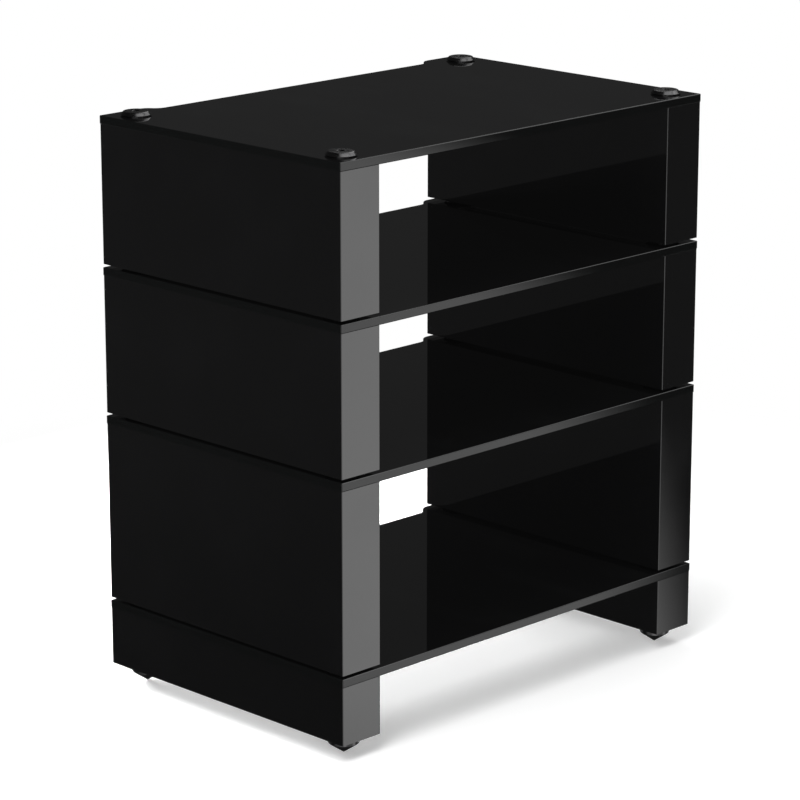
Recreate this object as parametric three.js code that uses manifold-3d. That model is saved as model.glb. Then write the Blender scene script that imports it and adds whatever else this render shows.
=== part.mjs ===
// Modular audio equipment rack in gloss black: a low plinth and three open tiers.
// Every module is a pair of thick side panels with a flat shelf fixed on top of them.
// Each shelf carries four spike shoes at its corners. Each module stands on four spikes.
// The plinth's spikes stand on the floor. Those of a tier hide in recesses under its panels
// and stand in the shoes below, so that only a narrow gap shows between the modules.
// The origin is on the floor, under the middle of the rack. The front faces -Y.

import * as THREE from 'three';
import { mergeVertices } from 'three/addons/utils/BufferGeometryUtils.js';
import Module from 'manifold-3d';

const wasm = await Module();
wasm.setup();

// Driving sizes, in millimetres.

// Shelf
const shelfWidth = 600;
const shelfDepth = 400;
const shelfThickness = 10;
const shelfOverhang = 0.5; // past the panels, on all four sides
const shelfCornerRadius = 1;
const shelfArris = 0.7;

// Cable notch in the shelf's rear edge, with an S-shaped flank at each end
const notchDepth = 15;
const notchFlankRun = 28;

// Side panels
const panelThickness = 59;
const panelCornerRadius = 0.8;
const panelArris = 0.3;
const plinthPanelHeight = 69.75;
const lowTierPanelHeight = 215.75;
const middleTierPanelHeight = 166;
const topTierPanelHeight = 166;

// Shoes and spikes lie this far from the shelf's front and rear edges, midway through the panels
const fixingInset = 30;

// Spike shoe: a bevelled disc on a slightly smaller base, with a dimple for a spike's tip
const shoeRadius = 18;
const shoeHeight = 5.4;
const shoeBaseHeight = 1.3;
const shoeBaseInset = 1;
const shoeBevelRun = 6;
const shoeBevelDrop = 1.7;
const dimpleRadius = 4.75;
const dimpleFloorRadius = 1;
const dimpleDepth = 2.2;

// Spike: a disc with a bevelled shoulder over a blunt cone
const spikeRadius = 18;
const spikeHeight = 21.5;
const spikeDiscHeight = 9.4;
const spikeShoulderDrop = 1.9;
const spikeShoulderInset = 2.6;
const spikeTipRadius = 0.6;

// Studs of the shoes and spikes, and their bores
const studRadius = 4;
const studReach = 25; // into the panel
const studClearance = 0.3;
const boreRunOut = 2; // beyond the stud's end

// Recess under a tier's panel
const recessClearance = 2; // round the shoe and the spike's disc
const spikeTipReach = 0.6; // how far the tip stands out of the recess

// Every cut runs this far past the face that it opens
const cutOverrun = 1;

// Facets
const turnedSides = 20;
const boreSides = 8;
const recessSides = 20;
const cornerSteps = 3;
const flankSteps = 5;

// Sizes and places that follow from these
const panelDepth = shelfDepth - 2 * shelfOverhang;
const panelInnerX = shelfWidth / 2 - shelfOverhang - panelThickness;
const panelMiddleX = panelInnerX + panelThickness / 2;
const fixingY = shelfDepth / 2 - fixingInset;
const boreRadius = (studRadius + studClearance) / Math.cos(Math.PI / boreSides);
const boreDepth = studReach + boreRunOut;
const recessRadius = Math.max(shoeRadius, spikeRadius) + recessClearance;
const recessDepth = spikeHeight - spikeTipReach;
const moduleGap = shoeHeight - dimpleDepth + spikeTipReach;

const fixings = [
  { place: 'front_left', x: -panelMiddleX, y: -fixingY },
  { place: 'front_right', x: panelMiddleX, y: -fixingY },
  { place: 'rear_left', x: -panelMiddleX, y: fixingY },
  { place: 'rear_right', x: panelMiddleX, y: fixingY },
];

const modules = [
  { name: 'plinth', panelHeight: plinthPanelHeight, recessed: false },
  { name: 'low_tier', panelHeight: lowTierPanelHeight, recessed: true },
  { name: 'middle_tier', panelHeight: middleTierPanelHeight, recessed: true },
  { name: 'top_tier', panelHeight: topTierPanelHeight, recessed: true },
];

const blackLacquer = { color: 0x0c0c0d, roughness: 0.14, metalness: 0 };
const blackGlass = { color: 0x08090a, roughness: 0.06, metalness: 0 };
const blackenedSteel = { color: 0x1b1b1d, roughness: 0.36, metalness: 0.75 };

const quarterTurn = Math.PI / 2;

function arcPoints(centreX, centreY, radius, from, to, steps) {
  const points = [];
  for (let i = 0; i <= steps; i += 1) {
    const angle = from + ((to - from) * i) / steps;
    points.push(new THREE.Vector2(centreX + radius * Math.cos(angle), centreY + radius * Math.sin(angle)));
  }
  return points;
}

function mirrored(points) {
  return points.map((point) => new THREE.Vector2(-point.x, point.y)).reverse();
}

// The right half of a rectangle about the origin, with rounded corners, from front to rear.
function rightHalf(width, depth, cornerRadius) {
  const cornerX = width / 2 - cornerRadius;
  const cornerY = depth / 2 - cornerRadius;
  return [
    ...arcPoints(cornerX, -cornerY, cornerRadius, -quarterTurn, 0, cornerSteps),
    ...arcPoints(cornerX, cornerY, cornerRadius, 0, quarterTurn, cornerSteps),
  ];
}

// An outline pulled up from z = 0, with an arris along both faces.
function plate(outline, height, arris) {
  const geometry = new THREE.ExtrudeGeometry(outline, {
    depth: height - 2 * arris,
    steps: 1,
    bevelEnabled: true,
    bevelThickness: arris,
    bevelSize: arris,
    bevelOffset: -arris,
    bevelSegments: 1,
  });
  geometry.translate(0, 0, arris);
  return geometry;
}

// A profile of [radius, z] pairs turned about the Z axis.
function turned(profile) {
  const points = profile.map(([radius, z]) => new THREE.Vector2(radius, z));
  const geometry = new THREE.LatheGeometry(points, turnedSides);
  geometry.rotateX(quarterTurn);
  return geometry;
}

function toSolid(geometry) {
  const bare = geometry.clone();
  bare.deleteAttribute('normal');
  bare.deleteAttribute('uv');
  const merged = mergeVertices(bare);
  return new wasm.Manifold(new wasm.Mesh({
    numProp: 3,
    vertProperties: new Float32Array(merged.attributes.position.array),
    triVerts: new Uint32Array(merged.index.array),
  }));
}

function toGeometry(solid) {
  const mesh = solid.getMesh();
  const geometry = new THREE.BufferGeometry();
  geometry.setAttribute('position', new THREE.BufferAttribute(new Float32Array(mesh.vertProperties), 3));
  geometry.setIndex(new THREE.BufferAttribute(new Uint32Array(mesh.triVerts), 1));
  geometry.computeVertexNormals();
  return geometry;
}

// A round cutter that stands on end at this place.
function drill(x, y, radius, low, high, sides) {
  const geometry = new THREE.CylinderGeometry(radius, radius, high - low, sides);
  geometry.rotateX(quarterTurn);
  geometry.translate(x, y, (low + high) / 2);
  return toSolid(geometry);
}

// The notch's right flank, from the rear edge in to the notch's floor: an S of two equal arcs,
// the first rounded and the second hollow. It starts in line with the panel's inner face.
function notchFlank() {
  const sweep = 2 * Math.atan(notchDepth / notchFlankRun);
  const radius = notchFlankRun / (2 * Math.sin(sweep));
  const rearY = shelfDepth / 2;
  const floorX = panelInnerX - notchFlankRun;
  const floorY = rearY - notchDepth;
  const rounded = arcPoints(panelInnerX, rearY - radius, radius, quarterTurn, quarterTurn + sweep, flankSteps);
  const hollow = arcPoints(floorX, floorY + radius, radius, sweep - quarterTurn, -quarterTurn, flankSteps);
  return [...rounded, ...hollow.slice(1)];
}

// The shelf lies on z = 0, the panels' top. Its front edge has a point in line with each panel's
// inner face, so that the clear span between the panels has a top face of its own to stand things on.
function makeShelf() {
  const spanCorner = new THREE.Vector2(panelInnerX, -shelfDepth / 2);
  const rightSide = [spanCorner, ...rightHalf(shelfWidth, shelfDepth, shelfCornerRadius), ...notchFlank()];
  const outline = new THREE.Shape([...rightSide, ...mirrored(rightSide)]);
  let shelf = toSolid(plate(outline, shelfThickness, shelfArris));
  for (const { x, y } of fixings) {
    shelf = shelf.subtract(drill(x, y, boreRadius, -cutOverrun, shelfThickness + cutOverrun, boreSides));
  }
  return toGeometry(shelf);
}

// The panel stands on z = 0, with bores for the studs in its top and over its spikes' seats.
function makePanel(height, recessed) {
  const rightSide = rightHalf(panelThickness, panelDepth, panelCornerRadius);
  const outline = new THREE.Shape([...rightSide, ...mirrored(rightSide)]);
  const spikeSeat = recessed ? recessDepth : 0;
  let panel = toSolid(plate(outline, height, panelArris));
  for (const y of [-fixingY, fixingY]) {
    panel = panel.subtract(drill(0, y, boreRadius, height - boreDepth, height + cutOverrun, boreSides));
    panel = panel.subtract(drill(0, y, boreRadius, spikeSeat - cutOverrun, spikeSeat + boreDepth, boreSides));
    if (recessed) {
      panel = panel.subtract(drill(0, y, recessRadius, -cutOverrun, recessDepth, recessSides));
    }
  }
  return toGeometry(panel);
}

// The shoe stands on z = 0, the shelf's top. Its stud clamps the shelf to the panel.
function makeShoe() {
  const studEnd = -shelfThickness - studReach;
  const dimpleFloor = shoeHeight - dimpleDepth;
  return turned([
    [0, studEnd],
    [studRadius, studEnd],
    [studRadius, 0],
    [shoeRadius - shoeBaseInset, 0],
    [shoeRadius - shoeBaseInset, shoeBaseHeight],
    [shoeRadius, shoeBaseHeight],
    [shoeRadius, shoeHeight - shoeBevelDrop],
    [shoeRadius - shoeBevelRun, shoeHeight],
    [dimpleRadius, shoeHeight],
    [dimpleFloorRadius, dimpleFloor],
    [0, dimpleFloor],
  ]);
}

// The spike hangs from z = 0, its seat in the panel, with its stud above.
function makeSpike() {
  return turned([
    [0, -spikeHeight],
    [spikeTipRadius, -spikeHeight],
    [spikeRadius - spikeShoulderInset, -spikeDiscHeight - spikeShoulderDrop],
    [spikeRadius, -spikeDiscHeight],
    [spikeRadius, 0],
    [studRadius, 0],
    [studRadius, studReach],
    [0, studReach],
  ]);
}

function addPiece(group, name, geometry, finish, x, y, z) {
  const piece = new THREE.Mesh(geometry, new THREE.MeshStandardMaterial(finish));
  piece.name = name;
  piece.position.set(x, y, z);
  group.add(piece);
}

// One module, whose group has its origin at the panels' underside.
function makeModule({ name, panelHeight, recessed }) {
  const group = new THREE.Group();
  const panel = makePanel(panelHeight, recessed);
  addPiece(group, `${name}_panel_left`, panel, blackLacquer, -panelMiddleX, 0, 0);
  addPiece(group, `${name}_panel_right`, panel, blackLacquer, panelMiddleX, 0, 0);
  addPiece(group, `${name}_shelf`, makeShelf(), blackGlass, 0, 0, panelHeight);

  const shelfTop = panelHeight + shelfThickness;
  const spikeSeat = recessed ? recessDepth : 0;
  for (const { place, x, y } of fixings) {
    addPiece(group, `${name}_shoe_${place}`, makeShoe(), blackenedSteel, x, y, shelfTop);
    addPiece(group, `${name}_spike_${place}`, makeSpike(), blackenedSteel, x, y, spikeSeat);
  }
  return group;
}

const rack = new THREE.Group();
let underside = spikeHeight;
for (const module of modules) {
  const group = makeModule(module);
  group.position.z = underside;
  rack.add(group);
  underside += module.panelHeight + shelfThickness + moduleGap;
}

export default rack;
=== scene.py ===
# Gloss black audio equipment rack: a plinth and three open tiers that stand on spikes and spike shoes.
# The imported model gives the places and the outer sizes. This script adds the fine form, finish, light
# and camera.
import math

import bmesh
import bpy
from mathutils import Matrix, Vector
from mathutils.geometry import tessellate_polygon


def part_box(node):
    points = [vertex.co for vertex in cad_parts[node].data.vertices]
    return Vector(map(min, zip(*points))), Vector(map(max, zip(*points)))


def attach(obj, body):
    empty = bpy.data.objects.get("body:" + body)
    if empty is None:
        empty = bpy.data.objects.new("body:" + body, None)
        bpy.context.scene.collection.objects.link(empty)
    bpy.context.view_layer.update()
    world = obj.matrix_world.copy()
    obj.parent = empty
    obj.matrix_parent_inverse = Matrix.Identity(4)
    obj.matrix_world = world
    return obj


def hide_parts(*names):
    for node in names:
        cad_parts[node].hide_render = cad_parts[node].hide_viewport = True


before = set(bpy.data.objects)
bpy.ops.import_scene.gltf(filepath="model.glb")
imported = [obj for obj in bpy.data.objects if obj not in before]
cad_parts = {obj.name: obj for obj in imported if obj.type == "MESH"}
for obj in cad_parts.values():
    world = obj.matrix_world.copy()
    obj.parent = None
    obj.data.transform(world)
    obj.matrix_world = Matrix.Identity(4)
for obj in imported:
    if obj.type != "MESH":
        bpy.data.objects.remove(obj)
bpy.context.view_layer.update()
print("frame loaded")

mm = 0.001
quarterTurn = math.pi / 2
moduleNames = ("plinth", "low_tier", "middle_tier", "top_tier")
placeNames = ("front_left", "front_right", "rear_left", "rear_right")


# Wraps a node's socket, so that sums on it add their Math nodes
class Wire:
    def __init__(self, tree, socket=None):
        self.tree = tree
        self.socket = socket

    # Any node: its settings first, then the values or wires of its sockets
    def add(self, kind, settings=None, sockets=None, out=0):
        made = self.tree.nodes.new(kind)
        for name, value in (settings or {}).items():
            setattr(made, name, value)
        for name, value in (sockets or {}).items():
            if isinstance(value, Wire):
                self.tree.links.new(value.socket, made.inputs[name])
            else:
                made.inputs[name].default_value = value
        return Wire(self.tree, made.outputs[out] if made.outputs else None)

    def math(self, operation, *values):
        return self.add("ShaderNodeMath", {"operation": operation}, dict(enumerate(values)))

    def __add__(self, other):
        return self.math("ADD", self, other)

    def __radd__(self, other):
        return self.math("ADD", other, self)

    def __sub__(self, other):
        return self.math("SUBTRACT", self, other)

    def __rsub__(self, other):
        return self.math("SUBTRACT", other, self)

    def __mul__(self, other):
        return self.math("MULTIPLY", self, other)

    def __rmul__(self, other):
        return self.math("MULTIPLY", other, self)

    def __truediv__(self, other):
        return self.math("DIVIDE", self, other)

    def __rtruediv__(self, other):
        return self.math("DIVIDE", other, self)

    # 0 at start, 1 at end, with a soft curve between them
    def ramp(self, start, end):
        sockets = {"Value": self, "From Min": start, "From Max": end}
        return self.add("ShaderNodeMapRange", {"interpolation_type": "SMOOTHSTEP"}, sockets)

    # This wire is the share of the second colour
    def colours(self, first, second):
        return self.add("ShaderNodeMix", {"data_type": "RGBA"}, {0: self, 6: first, 7: second}, out=2)

    def parts(self):
        split = self.add("ShaderNodeSeparateXYZ", {}, {"Vector": self}).socket.node
        return [Wire(self.tree, socket) for socket in split.outputs]

    # Noise whose grains are this many metres across, stretched along the axes by these shares
    def grain(self, size, detail=2.0, stretch=(1.0, 1.0, 1.0)):
        scale = [1 / (size * share) for share in stretch]
        place = self.add("ShaderNodeMapping", {}, {"Vector": self, "Scale": scale})
        return self.add("ShaderNodeTexNoise", {}, {"Vector": place, "Scale": 1.0, "Detail": detail})


def newMaterial(name):
    material = bpy.data.materials.new(name)
    material.use_nodes = True
    material.node_tree.nodes.clear()
    return material, Wire(material.node_tree)


def finishWith(start, sockets):
    shader = start.add("ShaderNodeBsdfPrincipled", {}, sockets)
    start.add("ShaderNodeOutputMaterial", {}, {"Surface": shader})


def grey(level):
    return (level, level, level, 1.0)


# Painted light: the black finishes glow this faintly, the level below which their blacks never fall, even
# deep in the bays where shade falls
paintedGlow = (0.0016, 0.0016, 0.0016, 1.0)

# Gloss black lacquer, flatted and polished: two clear layers over black
lacquer = {
    "black": (0.0008, 0.0008, 0.0009, 1.0),
    "worn": (0.0020, 0.0020, 0.0022, 1.0),
    "gloss": 0.030,
    "haze": 0.030,  # what the polish leaves here and there
    "hazeSize": 90 * mm,
    "hazeRange": (0.42, 0.74),
    "hazeShare": 0.6,  # of the worn colour; the swirls have the rest
    "hazeCoatLoss": 0.06,
    "swirl": 0.015,  # fine polishing marks
    "swirlSize": 0.9 * mm,
    "swirlStretch": (1.0, 6.0, 1.0),
    "swirlRange": (0.55, 0.8),
    "peelSize": 4.0 * mm,  # orange peel
    "peelDepth": 0.0012 * mm,
    "coatRoughness": 0.02,
    "ior": 1.5,
}


def lacquerMaterial():
    material, start = newMaterial("lacquer")
    place = start.add("ShaderNodeTexCoord", out="Object")
    haze = place.grain(lacquer["hazeSize"], 3.0).ramp(*lacquer["hazeRange"])
    swirl = place.grain(lacquer["swirlSize"], 2.0, lacquer["swirlStretch"]).ramp(*lacquer["swirlRange"])
    peel = place.grain(lacquer["peelSize"], 2.0)
    worn = haze * lacquer["hazeShare"] + swirl * (1 - lacquer["hazeShare"])
    bump = {"Strength": 1.0, "Distance": lacquer["peelDepth"], "Height": peel}
    finishWith(start, {
        "Base Color": worn.colours(lacquer["black"], lacquer["worn"]),
        "Roughness": lacquer["gloss"] + haze * lacquer["haze"] + swirl * lacquer["swirl"],
        "IOR": lacquer["ior"],
        "Coat Weight": 1.0 - haze * lacquer["hazeCoatLoss"],
        "Coat Roughness": lacquer["coatRoughness"],
        "Coat IOR": lacquer["ior"],
        # painted light: a faint even glow that lifts the shade on the lacquer
        "Emission Color": paintedGlow,
        "Emission Strength": 1.0,
        "Normal": start.add("ShaderNodeBump", {}, bump),
    })
    return material


# Board inside the recesses and bores, sealed with black primer
board = {
    "primer": (0.010, 0.009, 0.008, 1.0),
    "fibre": (0.034, 0.028, 0.022, 1.0),
    "fibreSize": 0.7 * mm,
    "fibreStretch": (1.0, 2.6, 1.0),
    "fibreRange": (0.5, 0.8),
    "fibreDepth": 0.03 * mm,
    "fibreBump": 0.8,
    "roughness": 0.62,
    "fibreRoughness": 0.2,
}


def boardMaterial():
    material, start = newMaterial("sealed_board")
    place = start.add("ShaderNodeTexCoord", out="Object")
    fibres = place.grain(board["fibreSize"], 4.0, board["fibreStretch"])
    bump = {"Strength": board["fibreBump"], "Distance": board["fibreDepth"], "Height": fibres}
    finishWith(start, {
        "Base Color": fibres.ramp(*board["fibreRange"]).colours(board["primer"], board["fibre"]),
        "Roughness": board["roughness"] + fibres * board["fibreRoughness"],
        "Normal": start.add("ShaderNodeBump", {}, bump),
    })
    return material


# Opaque black glass, wiped clean, with polished edges
glass = {
    "black": (0.0012, 0.0012, 0.0013, 1.0),
    "wiped": (0.0026, 0.0027, 0.0028, 1.0),
    "edge": (0.0011, 0.0013, 0.0013, 1.0),
    "edgeLight": (0.0024, 0.0029, 0.0028, 1.0),
    "ior": 1.5,
    "gloss": 0.012,
    "smear": 0.016,  # where a cloth has been
    "smearSize": 60 * mm,
    "smearStretch": (1.0, 2.5, 1.0),
    "smearRange": (0.45, 0.8),
    "waveSize": 130 * mm,  # the rollers' wave of toughened glass
    "waveStretch": (4.0, 1.0, 4.0),
    "waveDepth": 0.006 * mm,
    "edgeGloss": 0.022,
    "stroke": 0.02,  # the edge's polishing strokes, along it
    "strokeSize": 0.5 * mm,
    "strokeStretch": (30.0, 30.0, 1.0),
    "strokeRange": (0.45, 0.75),
    "strokeDepth": 0.0012 * mm,
}


def glassMaterial():
    material, start = newMaterial("black_glass")
    place = start.add("ShaderNodeTexCoord", out="Object")
    smear = place.grain(glass["smearSize"], 4.0, glass["smearStretch"]).ramp(*glass["smearRange"])
    wave = place.grain(glass["waveSize"], 0.0, glass["waveStretch"])
    bump = {"Strength": 1.0, "Distance": glass["waveDepth"], "Height": wave}
    finishWith(start, {
        "Base Color": smear.colours(glass["black"], glass["wiped"]),
        "Roughness": glass["gloss"] + smear * glass["smear"],
        "IOR": glass["ior"],
        # painted light: a faint even glow that lifts the shade on the glass
        "Emission Color": paintedGlow,
        "Emission Strength": 1.0,
        "Normal": start.add("ShaderNodeBump", {}, bump),
    })
    return material


def glassEdgeMaterial():
    material, start = newMaterial("polished_glass_edge")
    place = start.add("ShaderNodeTexCoord", out="Object")
    strokes = place.grain(glass["strokeSize"], 2.0, glass["strokeStretch"])
    light = strokes.ramp(*glass["strokeRange"])
    bump = {"Strength": 1.0, "Distance": glass["strokeDepth"], "Height": strokes}
    finishWith(start, {
        "Base Color": light.colours(glass["edge"], glass["edgeLight"]),
        "Roughness": glass["edgeGloss"] + strokes * glass["stroke"],
        "IOR": glass["ior"],
        # painted light: a faint even glow that lifts the shade on the polished glass edge
        "Emission Color": paintedGlow,
        "Emission Strength": 1.0,
        "Normal": start.add("ShaderNodeBump", {}, bump),
    })
    return material


# Blackened turned steel. The pieces carry their own radius and height in the attribute "turned".
steel = {
    "black": (0.085, 0.085, 0.088, 1.0),
    "bare": (0.125, 0.123, 0.121, 1.0),
    "pitShade": (0.014, 0.014, 0.015, 1.0),  # painted shade in the dimples, darker than the steel round them
    "pitRadius": 4.9 * mm,
    "pitFull": 0.8,  # share of that radius
    "ringSize": 0.16 * mm,  # the tool's feed
    "ringDepth": 0.0003 * mm,
    "patchSize": 5 * mm,
    "patchRange": (0.35, 0.75),
    "patchShare": 0.7,  # of the bare colour; the rings have the rest
    "roughness": 0.20,
    "ringRoughness": 0.05,
    "patchRoughness": 0.04,
    "pitRoughness": 0.2,
}


def steelMaterial():
    material, start = newMaterial("blackened_steel")
    turned = start.add("ShaderNodeAttribute", {"attribute_name": "turned"}, out="Vector")
    place = start.add("ShaderNodeTexCoord", out="Object")
    rings = turned.grain(steel["ringSize"], 1.0)
    patches = place.grain(steel["patchSize"], 4.0).ramp(*steel["patchRange"])
    radius, _, _ = turned.parts()
    # painted shade: the dimples are darkened and made rougher, fading out towards their rim
    pitShade = radius.ramp(steel["pitRadius"], steel["pitFull"] * steel["pitRadius"])
    bare = patches * steel["patchShare"] + rings * (1 - steel["patchShare"])
    outside = bare.colours(steel["black"], steel["bare"])
    roughness = steel["roughness"] + rings * steel["ringRoughness"] + patches * steel["patchRoughness"]
    bump = {"Strength": 1.0, "Distance": steel["ringDepth"], "Height": rings}
    finishWith(start, {
        "Base Color": pitShade.colours(outside, steel["pitShade"]),
        "Metallic": 1.0,
        "Roughness": roughness + pitShade * steel["pitRoughness"],
        "Normal": start.add("ShaderNodeBump", {}, bump),
    })
    return material


lacquerFinish = lacquerMaterial()
boardFinish = boardMaterial()
glassFinish = glassMaterial()
edgeFinish = glassEdgeMaterial()
steelFinish = steelMaterial()
print("materials made")


sharpAngle = math.radians(35)  # edges that turn more than this stay sharp
boreSides = 32
recessSides = 64
turnedSides = 96
roundingSteps = 4  # along each rounded corner of a turned profile
weldDistance = 0.001 * mm


# Points of an arc about a centre, each with the direction away from the solid
def arc(centreX, centreY, radius, start, end, steps, hollow=False):
    points = []
    for i in range(steps + 1):
        angle = start + (end - start) * i / steps
        away = Vector((math.cos(angle), math.sin(angle)))
        points.append((Vector((centreX, centreY)) + away * radius, -away if hollow else away))
    return points


def mirrored(points):
    return [(Vector((-spot.x, spot.y)), Vector((-away.x, away.y))) for spot, away in reversed(points)]


# The right half of a rectangle with round corners, from front to rear
def rightHalf(width, depth, radius, steps):
    cornerX = width / 2 - radius
    cornerY = depth / 2 - radius
    return [
        *arc(cornerX, -cornerY, radius, -quarterTurn, 0, steps),
        *arc(cornerX, cornerY, radius, 0, quarterTurn, steps),
    ]


def ring(bm, outline, centre, inset, z):
    return [bm.verts.new((*(centre + spot - away * inset), z)) for spot, away in outline]


def circle(bm, centre, radius, z, sides):
    outline = arc(0, 0, radius, 0, 2 * math.pi * (1 - 1 / sides), sides - 1)
    return ring(bm, outline, centre, 0, z)


def bridge(bm, first, second, slot):
    for i in range(len(first)):
        after = (i + 1) % len(first)
        bm.faces.new((first[i], first[after], second[after], second[i])).material_index = slot


def fill(bm, outer, holes, slot):
    rings = [outer, *holes]
    corners = [corner for each in rings for corner in each]
    for triangle in tessellate_polygon([[corner.co for corner in each] for each in rings]):
        bm.faces.new([corners[i] for i in triangle]).material_index = slot


# A hole's wall, from its mouth ring to the ring that it returns
def sink(bm, mouth, centre, radius, z, slot):
    last = circle(bm, centre, radius, z, len(mouth))
    bridge(bm, mouth, last, slot)
    return last


# Makes the mesh a piece: even normals on its flats, its own materials, and its body
def makePiece(name, bm, materials, body, nodes):
    bmesh.ops.recalc_face_normals(bm, faces=bm.faces[:])
    rough = bpy.data.meshes.new(name + "_rough")
    bm.to_mesh(rough)
    bm.free()
    rough.shade_smooth()
    rough.set_sharp_from_angle(angle=sharpAngle)
    for material in materials:
        rough.materials.append(material)
    carrier = bpy.data.objects.new(name + "_rough", rough)
    bpy.context.scene.collection.objects.link(carrier)
    even = carrier.modifiers.new("evenNormals", "WEIGHTED_NORMAL")
    even.keep_sharp = True
    graph = bpy.context.evaluated_depsgraph_get()
    mesh = bpy.data.meshes.new_from_object(carrier.evaluated_get(graph), depsgraph=graph)
    mesh.name = name
    piece = bpy.data.objects.new(name, mesh)
    bpy.context.scene.collection.objects.link(piece)
    bpy.data.objects.remove(carrier)
    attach(piece, body)
    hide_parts(*nodes)


def middleOf(node):
    low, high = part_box(node)
    return (low + high) / 2


# Side panels
panelShape = {
    "cornerRadius": 0.8 * mm,
    "footEdgeRadius": 0.3 * mm,
    "topEdgeRadius": 0.1 * mm,  # left nearly sharp, because the shelf covers it
    "cornerSteps": 8,
    "edgeSteps": 4,
    "boreRadius": 4.3 * mm,
    "boreDepth": 27 * mm,
    "recessRadius": 20 * mm,
    "recessDepth": 20.9 * mm,
    "mouthArris": 0.4 * mm,
}


def makePanel(module, side):
    shape = panelShape
    node = f"{module}_panel_{side}"
    low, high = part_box(node)
    size = high - low
    centre = middleOf(node).to_2d()
    outline = rightHalf(size.x, size.y, shape["cornerRadius"], shape["cornerSteps"])
    outline += mirrored(outline)
    bm = bmesh.new()

    angles = [quarterTurn * i / shape["edgeSteps"] for i in range(shape["edgeSteps"] + 1)]
    foot = shape["footEdgeRadius"]
    top = shape["topEdgeRadius"]
    edge = [(foot * (1 - math.sin(angle)), low.z + foot * (1 - math.cos(angle))) for angle in angles]
    angles.reverse()
    edge += [(top * (1 - math.sin(angle)), high.z - top * (1 - math.cos(angle))) for angle in angles]
    rings = [ring(bm, outline, centre, inset, z) for inset, z in edge]
    for lower, upper in zip(rings, rings[1:]):
        bridge(bm, lower, upper, 0)

    topMouths = []
    lowMouths = []
    for end in ("front", "rear"):
        spot = middleOf(f"{module}_shoe_{end}_{side}").to_2d()
        mouth = circle(bm, spot, shape["boreRadius"], high.z, boreSides)
        last = sink(bm, mouth, spot, shape["boreRadius"], high.z - shape["boreDepth"], 1)
        fill(bm, last, [], 1)
        topMouths.append(mouth)
        seat = low.z
        if module != "plinth":
            seat += shape["recessDepth"]
            mouth = circle(bm, spot, shape["recessRadius"] + shape["mouthArris"], low.z, recessSides)
            lip = sink(bm, mouth, spot, shape["recessRadius"], low.z + shape["mouthArris"], 1)
            ceiling = sink(bm, lip, spot, shape["recessRadius"], seat, 1)
            lowMouths.append(mouth)
        bore = circle(bm, spot, shape["boreRadius"], seat, boreSides)
        last = sink(bm, bore, spot, shape["boreRadius"], seat + shape["boreDepth"], 1)
        fill(bm, last, [], 1)
        if module == "plinth":
            lowMouths.append(bore)
        else:
            fill(bm, ceiling, [bore], 1)
    fill(bm, rings[0], lowMouths, 0)
    fill(bm, rings[-1], topMouths, 0)
    makePiece(node + "_lacquered", bm, [lacquerFinish, boardFinish], module, [node])


for module in moduleNames:
    for side in ("left", "right"):
        makePanel(module, side)
print("panels made")


# Shelves
shelfShape = {
    "cornerRadius": 1 * mm,
    "arris": 0.7 * mm,
    "arrisRounding": 0.12 * mm,
    "arrisMiddle": (0.2, 0.3),  # the middle point of each rounding, as shares of its run and its rise
    "cornerSteps": 8,
    "notchDepth": 15 * mm,
    "notchFlankRun": 28 * mm,
    "flankSteps": 16,
    "boreRadius": 4.3 * mm,
}


# The notch's right flank: an S of two equal arcs, the first rounded and the second hollow
def notchFlank(startX, rearY):
    shape = shelfShape
    sweep = 2 * math.atan(shape["notchDepth"] / shape["notchFlankRun"])
    radius = shape["notchFlankRun"] / (2 * math.sin(sweep))
    floorX = startX - shape["notchFlankRun"]
    floorY = rearY - shape["notchDepth"]
    steps = shape["flankSteps"]
    rounded = arc(startX, rearY - radius, radius, quarterTurn, quarterTurn + sweep, steps)
    hollow = arc(floorX, floorY + radius, radius, sweep - quarterTurn, -quarterTurn, steps, hollow=True)
    return rounded + hollow[1:]


# Inset and height of each ring round the edge, from the underside up: an arris with softened corners
def shelfEdge(thickness):
    arris = shelfShape["arris"]
    soft = shelfShape["arrisRounding"]
    slope = soft / math.sqrt(2)
    run, rise = shelfShape["arrisMiddle"]
    lower = [
        (arris + soft, 0),
        (arris + soft * run, slope * rise),
        (arris - slope, slope),
        (slope, arris - slope),
        (slope * rise, arris + soft * run),
        (0, arris + soft),
    ]
    return lower + [(inset, thickness - rise) for inset, rise in reversed(lower)]


def makeShelf(module):
    shape = shelfShape
    node = f"{module}_shelf"
    low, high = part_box(node)
    size = high - low
    centre = middleOf(node).to_2d()
    outline = rightHalf(size.x, size.y, shape["cornerRadius"], shape["cornerSteps"])
    panelLow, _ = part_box(f"{module}_panel_right")
    outline += notchFlank(panelLow.x, size.y / 2)  # the notch starts in line with the panel
    outline += mirrored(outline)
    bm = bmesh.new()

    rings = [ring(bm, outline, centre, inset, low.z + rise) for inset, rise in shelfEdge(size.z)]
    for lower, upper in zip(rings, rings[1:]):
        bridge(bm, lower, upper, 1)

    undersideMouths = []
    topMouths = []
    for place in placeNames:
        spot = middleOf(f"{module}_shoe_{place}").to_2d()
        mouth = circle(bm, spot, shape["boreRadius"], low.z, boreSides)
        undersideMouths.append(mouth)
        topMouths.append(sink(bm, mouth, spot, shape["boreRadius"], high.z, 1))
    fill(bm, rings[0], undersideMouths, 0)
    fill(bm, rings[-1], topMouths, 0)
    makePiece(node + "_glazed", bm, [glassFinish, edgeFinish], module, [node])


for module in moduleNames:
    makeShelf(module)
print("shelves made")


# Corners of a profile, as radius, height and rounding, with the roundings drawn out
def profilePoints(corners):
    points = []
    for i, (radius, height, rounding) in enumerate(corners):
        here = Vector((radius, height))
        if rounding == 0:
            points.append(here)
            continue
        before = (Vector(corners[i - 1][:2]) - here).normalized()
        after = (Vector(corners[i + 1][:2]) - here).normalized()
        reach = rounding / math.tan(before.angle(after) / 2)
        for k in range(roundingSteps + 1):
            share = k / roundingSteps
            pull = before * (reach * (1 - share) ** 2) + after * (reach * share ** 2)
            points.append(here + pull)
    return points


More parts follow.
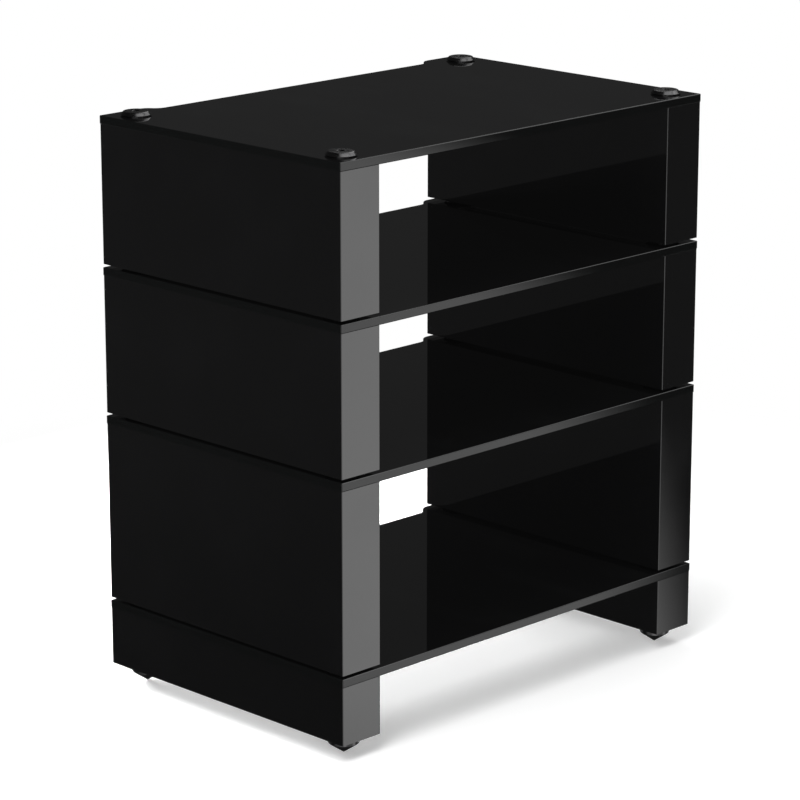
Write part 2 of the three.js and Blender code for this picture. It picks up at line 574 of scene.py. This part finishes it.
# Turns a profile about its own axis at every place, with a thread on the rows that ask for one
def turningTree():
    tree = bpy.data.node_groups.new("turnedFitting", "GeometryNodeTree")
    kinds = {
        "Profile": "NodeSocketObject",
        "Places": "NodeSocketObject",
        "Sides": "NodeSocketInt",
        "Thread pitch": "NodeSocketFloat",
        "Thread depth": "NodeSocketFloat",
        "Seed": "NodeSocketInt",
        "Finish": "NodeSocketMaterial",
    }
    for name, kind in kinds.items():
        tree.interface.new_socket(name, in_out="INPUT", socket_type=kind)
    tree.interface.new_socket("Fittings", in_out="OUTPUT", socket_type="NodeSocketGeometry")
    start = Wire(tree)
    groupInput = tree.nodes.new("NodeGroupInput")
    given = {name: Wire(tree, groupInput.outputs[name]) for name in kinds}
    pitch = given["Thread pitch"]
    sides = given["Sides"]

    profile = start.add("GeometryNodeObjectInfo", {}, {"Object": given["Profile"]}, out="Geometry")
    rows = start.add("GeometryNodeAttributeDomainSize", {}, {"Geometry": profile}, out="Point Count")
    sheet = start.add("GeometryNodeMeshGrid", {}, {"Vertices X": sides + 1, "Vertices Y": rows})
    index = start.add("GeometryNodeInputIndex")
    row = index.math("MODULO", index, rows)
    turn = (index - row) / rows / sides  # share of a whole turn

    position = start.add("GeometryNodeInputPosition")
    fromRow = {"Geometry": profile, "Value": position, "Index": row}
    spot = start.add("GeometryNodeSampleIndex", {"data_type": "FLOAT_VECTOR"}, fromRow)
    threaded = start.add("GeometryNodeInputNamedAttribute", {"data_type": "FLOAT"}, {"Name": "thread"})
    fromRow = {"Geometry": profile, "Value": threaded, "Index": row}
    thread = start.add("GeometryNodeSampleIndex", {"data_type": "FLOAT"}, fromRow)
    radius, _, height = spot.parts()
    groove = (height / pitch + turn).math("PINGPONG", height / pitch + turn, 0.5) * 2
    radius = radius - groove * thread * given["Thread depth"]
    angle = turn * (2 * math.pi)
    spread = {"X": radius * angle.math("COSINE", angle), "Y": radius * angle.math("SINE", angle), "Z": height}
    spread = start.add("ShaderNodeCombineXYZ", {}, spread)
    turned = start.add("GeometryNodeSetPosition", {}, {"Geometry": sheet, "Position": spread})
    stored = {"Geometry": turned, "Name": "turned", "Value": spot}
    turned = start.add("GeometryNodeStoreNamedAttribute", {"data_type": "FLOAT_VECTOR"}, stored)
    turned = start.add("GeometryNodeMergeByDistance", {}, {"Geometry": turned, "Distance": weldDistance})

    places = start.add("GeometryNodeObjectInfo", {}, {"Object": given["Places"]}, out="Geometry")
    chance = {2: 0.0, 3: 2 * math.pi, "Seed": given["Seed"]}  # 2 and 3 are its limits
    started = start.add("FunctionNodeRandomValue", {"data_type": "FLOAT"}, chance, out=1)
    swing = start.add("ShaderNodeCombineXYZ", {}, {"Z": started})
    stood = {"Points": places, "Instance": turned, "Rotation": swing}
    fittings = start.add("GeometryNodeInstanceOnPoints", {}, stood)
    fittings = start.add("GeometryNodeRealizeInstances", {}, {"Geometry": fittings})
    finish = {"Geometry": fittings, "Material": given["Finish"]}
    fittings = start.add("GeometryNodeSetMaterial", {}, finish)
    start.add("NodeGroupOutput", {}, {"Fittings": fittings})
    return tree


# A helper object for the tree: loose points, with a thread share for each
def pointsObject(name, points, threadShares=None):
    mesh = bpy.data.meshes.new(name)
    mesh.from_pydata(points, [], [])
    if threadShares:
        mesh.attributes.new("thread", "FLOAT", "POINT").data.foreach_set("value", threadShares)
    made = bpy.data.objects.new(name, mesh)
    bpy.context.scene.collection.objects.link(made)
    return made


turning = turningTree()


def turnFittings(name, profile, threadShares, places, thread, seed):
    points = [(radius, 0, height) for radius, height in profile]
    profileHelper = pointsObject(name + "_profile", points, threadShares)
    placeHelper = pointsObject(name + "_places", places)
    carrier = pointsObject(name + "_carrier", [])
    modifier = carrier.modifiers.new("turning", "NODES")
    modifier.node_group = turning
    values = {
        "Profile": profileHelper,
        "Places": placeHelper,
        "Sides": turnedSides,
        "Thread pitch": thread["pitch"],
        "Thread depth": thread["depth"],
        "Seed": seed,
        "Finish": steelFinish,
    }
    for item in turning.interface.items_tree:
        if item.name in values:
            modifier[item.identifier] = values[item.name]
    graph = bpy.context.evaluated_depsgraph_get()
    mesh = bpy.data.meshes.new_from_object(carrier.evaluated_get(graph), depsgraph=graph)
    bm = bmesh.new()
    bm.from_mesh(mesh)
    for helper in (profileHelper, placeHelper, carrier):
        bpy.data.objects.remove(helper)
    return bm


metricThread = {"pitch": 1.25 * mm, "depth": 0.62 * mm, "rowsPerTurn": 8}

# Spike shoes, from the middle of the top round to the stud's end
shoeShape = {
    "radius": 18 * mm,
    "height": 5.4 * mm,
    "baseHeight": 1.3 * mm,
    "baseInset": 1 * mm,
    "bevelRun": 3.2 * mm,
    "bevelDrop": 3.8 * mm,
    "dimpleRadius": 4.75 * mm,
    "dimpleFloorRadius": 1 * mm,
    "dimpleDepth": 2.2 * mm,
    "studRadius": 4 * mm,
    "studLength": 35 * mm,
    "rounding": 0.3 * mm,
    "baseRounding": 0.15 * mm,
    "topRounding": 2.5 * mm,  # where the flat top turns down into the bevel
}


def shoeProfile():
    shape = shoeShape
    baseRadius = shape["radius"] - shape["baseInset"]
    dimpleFloor = shape["height"] - shape["dimpleDepth"]
    soft = shape["rounding"]
    return profilePoints([
        (0, dimpleFloor, 0),
        (shape["dimpleFloorRadius"], dimpleFloor, soft),
        (shape["dimpleRadius"], shape["height"], soft),
        (shape["radius"] - shape["bevelRun"], shape["height"], shape["topRounding"]),
        (shape["radius"], shape["height"] - shape["bevelDrop"], soft),
        (shape["radius"], shape["baseHeight"], shape["baseRounding"]),
        (baseRadius, shape["baseHeight"], shape["baseRounding"]),
        (baseRadius, 0, shape["baseRounding"]),
        (shape["studRadius"], 0, 0),
        (shape["studRadius"], -shape["studLength"], soft),
        (0, -shape["studLength"], 0),
    ])


for number, module in enumerate(moduleNames):
    nodes = [f"{module}_shoe_{place}" for place in placeNames]
    places = []
    for node in nodes:
        _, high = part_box(node)
        middle = middleOf(node)
        places.append((middle.x, middle.y, high.z - shoeShape["height"]))
    plain = [0.0] * len(shoeProfile())
    bm = turnFittings(f"{module}_shoes", shoeProfile(), plain, places, metricThread, seed=number)
    makePiece(f"{module}_shoes", bm, [steelFinish], module, nodes)
print("shoes made")

# Spikes, from the tip round to the stud's end, with their seat at height 0
spikeShape = {
    "radius": 18 * mm,
    "height": 21.5 * mm,
    "discHeight": 9.4 * mm,
    "shoulderDrop": 1.9 * mm,
    "shoulderInset": 2.6 * mm,
    "tipRadius": 0.6 * mm,
    "studRadius": 4 * mm,
    "studLength": 25 * mm,
    "rounding": 0.4 * mm,
    "tipRounding": 0.16 * mm,
    "reliefRadius": 3.2 * mm,  # the plain neck between the disc and the thread
    "reliefHeight": 1.6 * mm,
}


def spikeProfile(threaded):
    shape = spikeShape
    shoulderRadius = shape["radius"] - shape["shoulderInset"]
    shoulder = -shape["discHeight"] - shape["shoulderDrop"]
    soft = shape["rounding"]
    points = profilePoints([
        (0, -shape["height"], 0),
        (shape["tipRadius"], -shape["height"], shape["tipRounding"]),
        (shoulderRadius, shoulder, soft),
        (shape["radius"], -shape["discHeight"], soft),
        (shape["radius"], 0, soft),
        (shape["reliefRadius"], 0, 0),
        (shape["reliefRadius"], shape["reliefHeight"], 0),
    ])
    shares = [0.0] * len(points)
    run = shape["studLength"] - shape["reliefHeight"]
    rows = round(run / metricThread["pitch"] * metricThread["rowsPerTurn"]) if threaded else 1
    for i in range(rows + 1):
        height = shape["reliefHeight"] + run * i / rows
        points.append(Vector((shape["studRadius"], height)))
        shares.append(1.0 if threaded else 0.0)
    points.append(Vector((0, shape["studLength"])))
    shares.append(0.0)
    return points, shares


def spikePlace(node):
    low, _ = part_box(node)
    middle = middleOf(node)
    return (middle.x, middle.y, low.z + spikeShape["height"])


for number, module in enumerate(moduleNames[1:]):
    nodes = [f"{module}_spike_{place}" for place in placeNames]
    points, shares = spikeProfile(threaded=False)
    places = [spikePlace(node) for node in nodes]
    bm = turnFittings(f"{module}_spikes", points, shares, places, metricThread, seed=10 + number)
    makePiece(f"{module}_spikes", bm, [steelFinish], module, nodes)
for number, place in enumerate(placeNames):
    node = f"plinth_spike_{place}"
    points, shares = spikeProfile(threaded=True)
    bm = turnFittings(f"foot_{place}", points, shares, [spikePlace(node)], metricThread, seed=20 + number)
    makePiece(f"foot_{place}_spike", bm, [steelFinish], f"foot_{place}", [node])
print("spikes made")


# Studio. The photograph's gloss shows a dim room with light low in front, not the white floor,
# so the floor and backdrop aren't seen by reflections, and the world is what they show.
studio = {
    "floorSize": 30.0,
    "floorColour": grey(0.80),
    "floorGlow": 0.40,  # near the rack; the rest of its white is lit, and keeps the shadow
    "glowRange": (0.7, 1.25),  # where that gives way to plain white
    "floorSegments": 8,
    "backdropRadius": 14.0,
    "backdropSegments": 48,
}


def stageObject(name, bm, material):
    mesh = bpy.data.meshes.new(name)
    bm.to_mesh(mesh)
    bm.free()
    mesh.materials.append(material)
    made = bpy.data.objects.new(name, mesh)
    bpy.context.scene.collection.objects.link(made)
    made.visible_glossy = False
    return made


def makeFloor():
    material, start = newMaterial("pale_floor")
    place = start.add("ShaderNodeTexCoord", out="Object")
    away = place.add("ShaderNodeVectorMath", {"operation": "LENGTH"}, {0: place}, out="Value")
    far = away.ramp(*studio["glowRange"])
    finishWith(start, {
        "Base Color": far.colours(studio["floorColour"], grey(0.0)),
        "Roughness": 1.0,
        "Specular IOR Level": 0.0,
        "Emission Color": far.colours(grey(studio["floorGlow"]), grey(1.0)),
        "Emission Strength": 1.0,
    })
    bm = bmesh.new()
    segments = studio["floorSegments"]
    bmesh.ops.create_grid(bm, x_segments=segments, y_segments=segments, size=studio["floorSize"] / 2)
    stageObject("floor", bm, material)


def makeBackdrop():
    material, start = newMaterial("white_backdrop")
    white = start.add("ShaderNodeEmission", {}, {"Color": grey(1.0), "Strength": 1.0})
    start.add("ShaderNodeOutputMaterial", {}, {"Surface": white})
    bm = bmesh.new()
    segments = studio["backdropSegments"]
    radius = studio["backdropRadius"]
    bmesh.ops.create_uvsphere(bm, u_segments=segments, v_segments=segments // 2, radius=radius)
    backdrop = stageObject("backdrop", bm, material)
    backdrop.visible_diffuse = False
    backdrop.visible_transmission = False
    backdrop.visible_shadow = False


makeFloor()
makeBackdrop()

# What the gloss reflects, by direction: a dim room, with light low in front and low on the other three sides.
# A pair is the start and the end of a soft change. Heights are those of the sight line, from -1 straight
# down to 1 straight up. Slants are how far it goes to the right for each metre forward.
room = {
    "dim": 0.040,
    "high": 0.0045,  # more than that, further up
    "highHeights": (0.18, 0.26),
    "side": 0.046,  # just below the horizon
    "sideHeights": (0.0, -0.12),
    "deep": 0.027,  # further down
    "deepHeights": (-0.24, -0.35),
    "front": 1.38,
    "frontTop": (0.3, 0.05),
    "frontBeginning": (0.05, 0.2),  # how much of the sight line has to go forward
    "frontLeftSlants": (-4.0, -1.0),
    "frontEdge": (1.2378, 0.744, 4.51),  # the right edge curves in towards the horizon
    "frontSoftness": 0.103,
    "frontMiddle": 0.36,  # share of it that is left straight in front
    "frontMiddleSquares": (0.12, 0.36),  # squares of the slants where that ends
    "frontLoss": 0.20,  # further down
    "frontLossHeights": (-0.335, -0.365),
    "sides": 0.35,
    "sidesAxes": (0.3, 0.8),  # 0 halfway between two sides, 1 straight at one
    "sidesHeights": (0.0, -0.1),
    "lowestHeights": (-0.75, -0.5),  # no light comes from further down
    "leastForward": 0.001,  # this and the next keep the divisions finite
    "leastSquare": 0.0001,
}


def makeWorld():
    world = bpy.data.worlds.new("room")
    bpy.context.scene.world = world
    world.use_nodes = True
    world.node_tree.nodes.clear()
    start = Wire(world.node_tree)
    x, y, z = start.add("ShaderNodeTexCoord", out="Generated").parts()
    forward = start.math("MAXIMUM", 0.0 - y, room["leastForward"])
    across = x / forward
    furthest, curve, rate = room["frontEdge"]
    drop = z / forward * rate
    edge = furthest - curve * drop.math("EXPONENT", drop)
    soft = room["frontSoftness"] / 2
    front = (across - edge).ramp(soft, -soft) * across.ramp(*room["frontLeftSlants"])
    front = front * forward.ramp(*room["frontBeginning"]) * z.ramp(*room["frontTop"])
    aside = (across * across).ramp(*room["frontMiddleSquares"])
    front = front * (room["frontMiddle"] + aside * (1 - room["frontMiddle"]))
    axes = (x * x - y * y) / (x * x + y * y + room["leastSquare"])
    sides = (axes * axes).ramp(*room["sidesAxes"]) * z.ramp(*room["sidesHeights"])
    patches = front * (room["front"] - z.ramp(*room["frontLossHeights"]) * room["frontLoss"])
    patches = patches.math("MAXIMUM", patches, sides * room["sides"])
    patches = patches * z.ramp(*room["lowestHeights"])
    higher = z.ramp(*room["highHeights"]) * room["high"]
    lower = z.ramp(*room["sideHeights"]) * (room["side"] - room["dim"])
    deeper = z.ramp(*room["deepHeights"]) * (room["side"] - room["deep"])
    level = room["dim"] + higher + lower - deeper + patches
    light = start.add("ShaderNodeBackground", {}, {"Color": grey(1.0), "Strength": level})
    start.add("ShaderNodeOutputWorld", {}, {"Surface": light})


makeWorld()

# Soft lamps: place, what they face, width, height, brightness, and whether they light matt surfaces
# and show in the gloss. The key lamp casts the narrow shadow at the foot of the rack, and the rear strip
# lights the floor under the plinth. The top softbox makes the bright band round the shoes.
lamps = {
    "key": ((-1.519, -0.601, 2.301), (-0.3, -0.2, 0.0), 1.4, 2.9, 6.36, True, False),
    "rearStrip": ((0.0, 1.0, 0.3225), (0.0, 0.0, 0.0), 1.1, 0.065, 128.0, True, False),
    "rightSoftbox": ((1.7, 0.15, 2.3), (0.0, 0.0, 0.5), 3.4, 1.4, 1.5, True, True),
    "frontSoftbox": ((0.55, -1.75, 2.0), (0.0, 0.0, 0.5), 2.8, 1.2, 1.3, False, True),
    "topSoftbox": ((0.0, -0.95, 2.6), (0.0, 0.0, 0.7), 1.8, 1.2, 1.7, False, True),
}

for name, (place, target, width, height, brightness, lights, shown) in lamps.items():
    light = bpy.data.lights.new(name, "AREA")
    light.shape = "RECTANGLE"
    light.size = width
    light.size_y = height
    light.energy = brightness * width * height * math.pi
    lamp = bpy.data.objects.new(name, light)
    lamp.location = place
    lamp.rotation_euler = (Vector(target) - Vector(place)).to_track_quat("-Z", "Y").to_euler()
    lamp.visible_camera = False
    lamp.visible_diffuse = lights
    lamp.visible_glossy = shown
    bpy.context.scene.collection.objects.link(lamp)
print("studio made")

# The photograph's camera
cameraSet = {
    "lens": 151.85,
    "sensor": 36.0,
    "place": (-2.7762, -2.7615, 1.3976),
    "tilt": 90 - 15.247,
    "turn": -45.06,
}
cameraData = bpy.data.cameras.new("camera")
cameraData.lens = cameraSet["lens"]
cameraData.sensor_width = cameraSet["sensor"]
camera = bpy.data.objects.new("camera", cameraData)
camera.location = cameraSet["place"]
camera.rotation_euler = (math.radians(cameraSet["tilt"]), 0.0, math.radians(cameraSet["turn"]))
bpy.context.scene.collection.objects.link(camera)
bpy.context.scene.camera = camera
bpy.context.scene.view_settings.view_transform = "Standard"
print("camera placed")
